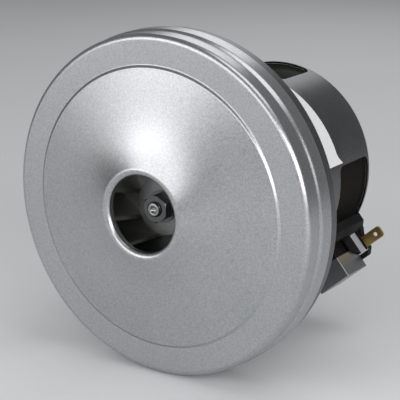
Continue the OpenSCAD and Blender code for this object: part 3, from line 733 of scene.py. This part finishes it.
def window_wall(sheet, radius, facing, low_ring, high_ring, outlines):
    """The can's wall round the windows, as triangles on a cylinder; returns its points on the outlines."""
    step = TURN / RING_STEPS
    places = []
    keys = []
    edges = []

    def add_chain(chain, chain_keys, closed):
        base = len(places)
        places.extend(chain)
        keys.extend(chain_keys)
        count = len(chain)
        edges.extend((base + k, base + (k + 1) % count) for k in range(count if closed else count - 1))

    low_y = sheet.points[low_ring[0]].y
    high_y = sheet.points[high_ring[0]].y
    levels = 14
    clearance = 1 * MM
    rise = [low_y + (high_y - low_y) * k / levels for k in range(1, levels)]
    border = [(k * step, low_y) for k in range(RING_STEPS + 1)]
    border_keys = [low_ring[k % RING_STEPS] for k in range(RING_STEPS + 1)]
    seam = [sheet.point(radius, 0, y, (facing, 0, 0)) for y in rise]
    border += [(TURN, y) for y in rise]
    border_keys += seam
    border += [(k * step, high_y) for k in range(RING_STEPS, -1, -1)]
    border_keys += [high_ring[k % RING_STEPS] for k in range(RING_STEPS, -1, -1)]
    border += [(0, y) for y in reversed(rise)]
    border_keys += seam[::-1]
    add_chain(border, border_keys, True)
    loops = []
    for outline in outlines:
        loop = [sheet.point(radius, a, y, (facing, 0, 0)) for a, y in outline]
        loops.append(loop)
        add_chain(outline, loop, True)
    for k in range(1, RING_STEPS):
        for y in rise:
            if not any(in_window(k * step, y, c, clearance) for c in WINDOW_CENTRES):
                add_chain([(k * step, y)], [sheet.point(radius, k * step, y, (facing, 0, 0))], False)
    flat = [Vector((a * CAN_R, y)) for a, y in places]
    found, _, triangles, origins, _, _ = geometry.delaunay_2d_cdt(flat, edges, [], 0, 1e-9)
    index = [keys[origin[0]] for origin in origins]
    for triangle in triangles:
        middle = sum((found[i] for i in triangle), Vector((0, 0))) / 3
        if any(in_window(middle.x / CAN_R, middle.y, c) for c in WINDOW_CENTRES):
            continue
        corners = [index[i] for i in triangle]
        sheet.face(corners if facing < 0 else corners[::-1], OUTSIDE if facing > 0 else INSIDE)
    return loops


def make_motor_frame():
    sheet = Sheet()
    front, back = frame_path()
    front_normals = path_normals(front)
    back_normals = path_normals(back)
    front_normals[-1] = back_normals[0] = Vector((1, 0))
    back_normals[-1] = Vector((0, 1))
    front_normals[0] = Vector((1, 0))
    edge_loops = [window_outline(c, 0) for c in WINDOW_CENTRES]
    wide_loops = [window_outline(c, EDGE_ROUND) for c in WINDOW_CENTRES]
    loops = {}
    ends = {}
    for facing, depth in ((1, 0), (-1, FRAME_SHEET)):
        rings = []
        for path, normals in ((front, front_normals), (back, back_normals)):
            run = []
            for p, n in zip(path, normals):
                run.append(sheet.ring(p.x - n.x * depth, p.y - n.y * depth, n * facing))
            rings.append(run)
        for run in rings:
            for a, b in zip(run, run[1:]):
                if facing > 0:
                    sheet.band(b, a, OUTSIDE)
                else:
                    sheet.band(a, b, INSIDE)
        wall_ends = rings[0][-1], rings[1][0]
        loops[facing] = window_wall(sheet, CAN_R - depth, facing, *wall_ends, wide_loops)
        ends[facing] = (rings[0][0], rings[1][-1])
    for w, outline in enumerate(edge_loops):
        count = len(outline)
        cut = []
        for depth in EDGE_DEPTHS:
            loop = []
            for k in range(count):
                a0, y0 = outline[k - 1]
                a1, y1 = outline[(k + 1) % count]
                along = Vector(((a1 - a0) * CAN_R, y1 - y0)).normalized()
                loop.append(sheet.point(CAN_R - depth, *outline[k], (0, -along.y, along.x)))
            cut.append(loop)
        sheet.band(loops[1][w], cut[0], CUT)
        sheet.band(cut[0], cut[1], CUT)
        sheet.band(cut[1], loops[-1][w], CUT)
    rim = [sheet.ring(RIM_R - d, RIM_Y - RIM_ROUND, (0, -1)) for d in EDGE_DEPTHS]
    for a, b in zip([ends[1][0]] + rim, rim + [ends[-1][0]]):
        sheet.band(a, b, CUT)
    hole = [sheet.ring(BOSS_HOLE_R, END_Y - d, (-1, 0)) for d in EDGE_DEPTHS]
    for a, b in zip([ends[1][1]] + hole, hole + [ends[-1][1]]):
        sheet.band(b, a, CUT)
    mesh = bpy.data.meshes.new("motor_frame_piece")
    mesh.from_pydata(sheet.points, [], sheet.faces)
    for face in mesh.polygons:
        face.use_smooth = True
    mesh.normals_split_custom_set_from_vertices(sheet.normals)
    # Painted shade on the frame's outer and inner faces, and the cut-edge finish
    for finish in (FRAME_PAINTED_SHADE, FRAME_INSIDE_PAINTED_SHADE, CUT_EDGE_AND_HIGHLIGHT):
        mesh.materials.append(finish)
    mesh.polygons.foreach_set("material_index", sheet.finishes)
    return stand_for(new_piece("motor_frame_piece", mesh), "motor_frame")


# The paper strip on the can
def make_paper_strip():
    """A bare strip round the can whose lower end lifts at its rear corner."""
    low_a = math.radians(11.7)
    high_a = math.radians(64)
    front_y = 39 * MM
    rear_y = 53.9 * MM
    skew = 2.4 * MM
    thickness = 0.14 * MM
    gap = 0.02 * MM
    lift = 1.8 * MM
    peel_l = 4.5 * MM
    curl = math.radians(0.7)
    rows, columns = 60, 20
    points = []
    for side in (0, 1):
        for i in range(rows + 1):
            up = i / rows
            edge_y = rear_y + skew * (1 - up) ** 2
            for j in range(columns + 1):
                across = j / columns
                loose = max(0, 1 - up * (high_a - low_a) * CAN_R / peel_l) * across
                a = low_a + (high_a - low_a) * up + curl * loose ** 2
                y = front_y + (edge_y - front_y) * across
                r = CAN_R + gap + lift * loose ** 1.6 + side * thickness
                points.append((r * math.cos(a), y, r * math.sin(a)))
    line = columns + 1
    count = (rows + 1) * line
    faces = []
    for i in range(rows):
        for j in range(columns):
            k = i * line + j
            quad = (k, k + 1, k + line + 1, k + line)
            faces.append(quad)
            faces.append(tuple(count + n for n in reversed(quad)))
    border = list(range(columns))
    border += [i * line + columns for i in range(rows)]
    border += [rows * line + j for j in range(columns, 0, -1)]
    border += [i * line for i in range(rows, 0, -1)]
    for a, b in zip(border, border[1:] + border[:1]):
        faces.append((a, b, count + b, count + a))
    mesh = bpy.data.meshes.new("paper_strip")
    mesh.from_pydata(points, [], faces)
    mesh.materials.append(PAPER)
    face_outwards(mesh)
    mesh.set_sharp_from_angle(angle=math.radians(40))
    piece = new_piece("paper_strip", mesh)
    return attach(piece, "motor")


# Pieces with rounded edges
BRUSH_SIDES = (("right", BRUSH_A), ("left", BRUSH_A + math.pi))
BRUSH_GEAR_EDGES = {"brush_holder_": 0.5 * MM, "brush_cap_": 0.4 * MM, "brush_tube_": 0.15 * MM,
                    "carbon_brush_": 0.3 * MM}
TERMINAL_EDGE = 0.12 * MM
HARDWARE_EDGE = 0.2 * MM
BRACKET_EDGE = 0.3 * MM


def make_brush_gear():
    """The brush gear of both sides; each terminal is tinned up to its bare tab."""
    for side, angle in BRUSH_SIDES:
        for kind, edge in BRUSH_GEAR_EDGES.items():
            softened(kind + side, edge)
        terminal = softened("terminal_" + side, TERMINAL_EDGE)
        terminal.data.materials.append(TINNED)
        across = Vector((-math.sin(angle), 0, math.cos(angle)))
        form = bmesh.new()
        form.from_mesh(terminal.data)
        every = form.verts[:] + form.edges[:] + form.faces[:]
        bmesh.ops.bisect_plane(form, geom=every, dist=1e-6, plane_co=across * STRIP_END, plane_no=across)
        for face in form.faces:
            face.material_index = 1 if face.calc_center_median().dot(across) < STRIP_END else 0
        form.to_mesh(terminal.data)
        form.free()


def make_hardware():
    for node in ("fan_nut", "fan_washer", "impeller_hub", "fan_spacer", "bracket_screws", "holder_screws"):
        softened(node, HARDWARE_EDGE)
    softened("front_bracket", BRACKET_EDGE)


# The shaft, with a cut thread under the fan nut
def make_shaft():
    low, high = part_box("shaft")
    thread_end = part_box("fan_nut")[1].y
    seat_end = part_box("impeller_back_disc")[1].y
    chamfer = 0.5 * MM
    edge = 0.12 * MM
    pitch = 1 * MM
    depth = 0.3 * MM
    rows = [(0, low.y + 2 * DRILL_R), (DRILL_R - edge, low.y + 2 * edge), (DRILL_R + edge, low.y)]
    rows += [(SEAT_R - chamfer - edge, low.y), (SEAT_R - chamfer + edge, low.y + 2 * edge)]
    first = len(rows)
    cuts = 60
    rows += [(SEAT_R, low.y + chamfer + (thread_end - low.y - chamfer) * i / cuts) for i in range(cuts + 1)]
    last = len(rows)
    rows += [(SEAT_R, seat_end), (high.x - edge, seat_end), (high.x, seat_end + edge)]
    rows += [(high.x, high.y - chamfer), (high.x - chamfer, high.y), (0, high.y)]
    sides = 72
    points = []
    for i, (radius, y) in enumerate(rows):
        for k in range(sides):
            a = TURN * k / sides
            wave = 0.5 - 0.5 * math.cos(TURN * (y - low.y) / pitch - a)
            r = radius - depth * wave if first <= i < last else radius
            points.append((r * math.cos(a), y, r * math.sin(a)))
    faces = []
    for i in range(len(rows) - 1):
        for k in range(sides):
            n = (k + 1) % sides
            faces.append((i * sides + k, i * sides + n, (i + 1) * sides + n, (i + 1) * sides + k))
    mesh = bpy.data.meshes.new("shaft_piece")
    mesh.from_pydata(points, [], faces)
    mesh.materials.append(TURNED)
    face_outwards(mesh)
    mesh.set_sharp_from_angle(angle=math.radians(50))
    return stand_for(new_piece("shaft_piece", mesh), "shaft")


# Wound wire
def floats(*labels):
    """Inputs of a tree that are plain numbers."""
    return {label: "Float" for label in labels}


def wire_tree(name, inputs, place, closed=False):
    """Wires that follow place(given, number, turn): turn runs from 0 to 1 along each numbered wire."""
    shared = {"Wires": "Int", "Stations": "Int", "Wire Radius": "Float", "Sides": "Int",
              "Finish": "Material"}
    tree, given, target = new_growth(name, {**shared, **inputs})
    line = add_node(tree, "GeometryNodeCurvePrimitiveLine", End=(1, 0, 0))
    fine = add_node(tree, "GeometryNodeResampleCurve", Curve=line.outputs[0], Count=given["Stations"])
    if closed:
        fine = add_node(tree, "GeometryNodeSetSplineCyclic", Geometry=fine.outputs[0], Cyclic=True)
    copies = add_node(tree, "GeometryNodeDuplicateElements", {"domain": "SPLINE"}, Geometry=fine.outputs[0],
                      Amount=given["Wires"])
    along = add_node(tree, "GeometryNodeSplineParameter")
    steps = given["Stations"] - (0 if closed else 1)
    turn = Field(tree, along.outputs["Index"]) / steps
    x, y, z = place(given, Field(tree, copies.outputs["Duplicate Index"]), turn)
    spot = add_node(tree, "ShaderNodeCombineXYZ", X=x, Y=y, Z=z)
    laid = add_node(tree, "GeometryNodeSetPosition", Geometry=copies.outputs[0], Position=spot.outputs[0])
    round_wire = add_node(tree, "GeometryNodeCurvePrimitiveCircle", Resolution=given["Sides"],
                          Radius=given["Wire Radius"])
    solid = add_node(tree, "GeometryNodeCurveToMesh", Curve=laid.outputs[0],
                     Profile_Curve=round_wire.outputs[0], Fill_Caps=not closed)
    return close_growth(tree, target, solid.outputs[0], given["Finish"])


def coil_place(given, number, turn):
    """A wire of a field coil: a rounded loop round its pole, in rows across and layers outwards."""
    layer = (number / given["Rows"]).floor()
    row = number - layer * given["Rows"]
    around = turn * TURN
    reach = around.cos().signed_power(COIL_SQUARENESS)
    along = around.sin().signed_power(COIL_SQUARENESS)
    angle = given["Pole Angle"] + reach * (given["Inner Angle"] + row * given["Row Angle"])
    radius = given["Inner Radius"] + layer * given["Pitch"]
    y = given["Middle"] + along * (given["Half Length"] + row * given["Pitch"])
    return radius * angle.cos(), y, radius * angle.sin()


def make_field_coils():
    sizes = floats("Pole Angle", "Inner Angle", "Row Angle", "Inner Radius", "Pitch", "Middle",
                   "Half Length")
    tree = wire_tree("field_coil", {"Rows": "Int", **sizes}, coil_place, True)
    rows = 7
    layers = 6
    pitch = (COIL_OUT_R - COIL_IN_R) / layers
    for node, angle in (("field_coil_upper", POLE_A), ("field_coil_lower", POLE_A + math.pi)):
        values = {"Wires": rows * layers, "Stations": 112, "Wire Radius": COIL_WIRE_R, "Sides": 6,
                  "Finish": WIRE, "Rows": rows, "Pole Angle": angle, "Inner Angle": math.radians(29.5),
                  "Row Angle": math.radians(2.1), "Inner Radius": COIL_IN_R + pitch / 2, "Pitch": pitch,
                  "Middle": (stack_low.y + stack_high.y) / 2,
                  "Half Length": (stack_high.y - stack_low.y) / 2 + 0.8 * MM}
        piece = grow(node + "_piece", tree, values)
        stand_for(piece, node)


def end_turn_place(given, number, turn):
    """A wire of the end turns: out of its slot, across past the shaft and into another slot."""
    strand = (number / SLOTS).floor()
    slot = number - strand * SLOTS
    middle = (turn * math.pi).sin()
    angle = (slot + turn * given["Span"]) * (TURN / SLOTS)
    dip = middle.math("POWER", 0.8)
    depth = given["Slot Radius"] - given["Inner Radius"] - strand * given["Step"]
    radius = given["Slot Radius"] - dip * depth
    hump = middle.math("POWER", 0.45) * (given["Height"] - strand * given["Step"])
    lift = hump + (turn - 0.5) * middle * given["Lean"]
    return radius * angle.cos(), given["Start"] + given["Outward"] * lift, radius * angle.sin()


def slot_place(given, number, turn):
    """A straight wire in an armature slot, one of a few side by side."""
    strand = (number / SLOTS).floor()
    angle = (number - strand * SLOTS) * (TURN / SLOTS)
    radius = given["Slot Radius"] + strand * given["Step"]
    return radius * angle.cos(), given["Start"] + turn * given["Length"], radius * angle.sin()


def make_armature_windings():
    slot_sizes = floats("Slot Radius", "Step", "Start", "Length")
    slot_tree = wire_tree("slot_wires", slot_sizes, slot_place)
    turn_sizes = floats("Span", "Slot Radius", "Inner Radius", "Step", "Height", "Lean", "Start",
                        "Outward")
    turn_tree = wire_tree("end_turns", turn_sizes, end_turn_place)
    wires = [grow("slot_wires", slot_tree, {
        "Wires": SLOTS * SLOT_STRANDS, "Stations": 2, "Wire Radius": 0.6 * MM, "Sides": 8,
        "Finish": WIRE, "Slot Radius": SLOT_R - STRAND_STEP, "Step": STRAND_STEP,
        "Start": stack_low.y, "Length": stack_high.y - stack_low.y})]
    for start, outward in ((stack_high.y, 1), (stack_low.y, -1)):
        wires.append(grow("end_turns", turn_tree, {
            "Wires": SLOTS * END_STRANDS, "Stations": 26, "Wire Radius": 0.5 * MM, "Sides": 6,
            "Finish": WIRE, "Span": 9.0, "Slot Radius": SLOT_R + 1.0 * MM, "Inner Radius": 6.6 * MM,
            "Step": STRAND_STEP, "Height": END_TURN - 1.2 * MM, "Lean": 2.2 * MM,
            "Start": start - outward * 0.6 * MM, "Outward": float(outward)}))
    stand_for(joined("armature_windings_piece", wires), "armature_windings")


def spring_place(given, number, turn):
    """A compression spring along +X whose turns lie closer at both ends."""
    wound = turn * given["Turns"] * TURN
    spread = turn - (turn * TURN).sin() * SPRING_CLOSING
    x = given["Start"] + (given["End"] - given["Start"]) * spread
    return x, wound.cos() * given["Radius"] + given["Station"], wound.sin() * given["Radius"] + number


def make_brush_springs():
    tree = wire_tree("brush_spring", floats("Turns", "Start", "End", "Radius", "Station"), spring_place)
    for side, angle in BRUSH_SIDES:
        values = {"Wires": 1, "Stations": SPRING_TURNS * SPRING_STATIONS, "Wire Radius": SPRING_WIRE_R,
                  "Sides": 10, "Finish": SPRING, "Turns": float(SPRING_TURNS), "Start": SPRING_IN,
                  "End": SPRING_OUT, "Radius": SPRING_R, "Station": BRUSH_Y}
        piece = grow("brush_spring_" + side + "_piece", tree, values)
        piece.data.transform(Matrix.Rotation(-angle, 4, "Y"))
        stand_for(piece, "brush_spring_" + side)
        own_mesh(piece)


# Stage, light and camera
def make_stage():
    """A pale floor under the motor and a weak even light from all sides."""
    half = 3.0
    mesh = bpy.data.meshes.new("floor")
    z = cad_box[0][2]
    corners = [(-half, -half, z), (half, -half, z), (half, half, z), (-half, half, z)]
    mesh.from_pydata(corners, [], [(0, 1, 2, 3)])
    mesh.materials.append(floor_card())
    new_piece("floor", mesh)
    scene = bpy.context.scene
    scene.view_settings.view_transform = "Standard"
    world = bpy.data.worlds.new("studio")
    world.use_nodes = True
    sky = world.node_tree.nodes["Background"]
    sky.inputs["Color"].default_value = (0.97, 0.98, 1, 1)
    sky.inputs["Strength"].default_value = 0.22
    scene.world = world


def add_softbox(name, place, size, power):
    """A rectangular lamp turned to the origin."""
    lamp = bpy.data.lights.new(name, "AREA")
    lamp.shape = "RECTANGLE"
    lamp.size, lamp.size_y = size
    lamp.energy = power
    box = bpy.data.objects.new(name, lamp)
    bpy.context.scene.collection.objects.link(box)
    box.location = place
    box.rotation_euler = (-Vector(place)).to_track_quat("-Z", "Y").to_euler()
    box.visible_camera = False


def make_camera():
    """A long lens at the photograph's viewing angle."""
    camera = bpy.data.cameras.new("camera")
    camera.lens = 135
    camera.sensor_width = 36
    holder = bpy.data.objects.new("camera", camera)
    bpy.context.scene.collection.objects.link(holder)
    holder.location = (0.31742, -0.45715, 0.16004)
    forward = Vector((-0.5342, 0.7992, -0.2755))
    holder.rotation_euler = forward.to_track_quat("-Z", "Y").to_euler()
    bpy.context.scene.camera = holder


make_fan_cover()
make_motor_frame()
make_paper_strip()
make_brush_gear()
make_hardware()
make_shaft()
make_field_coils()
make_armature_windings()
make_brush_springs()
make_stage()
add_softbox("key", (-0.2, -0.91, 0.45), (1.4, 0.62), 5.0)
add_softbox("left", (-0.6, -0.74, 0.15), (0.6, 0.38), 0.8)
add_softbox("top", (0.3, 0.1, 0.9), (0.7, 0.7), 2.6)
add_softbox("side", (0.6, -0.34, 0.22), (0.7, 0.34), 2.9)
add_softbox("rear", (-0.3, 0.75, 0.5), (0.5, 0.4), 0.9)
make_camera()
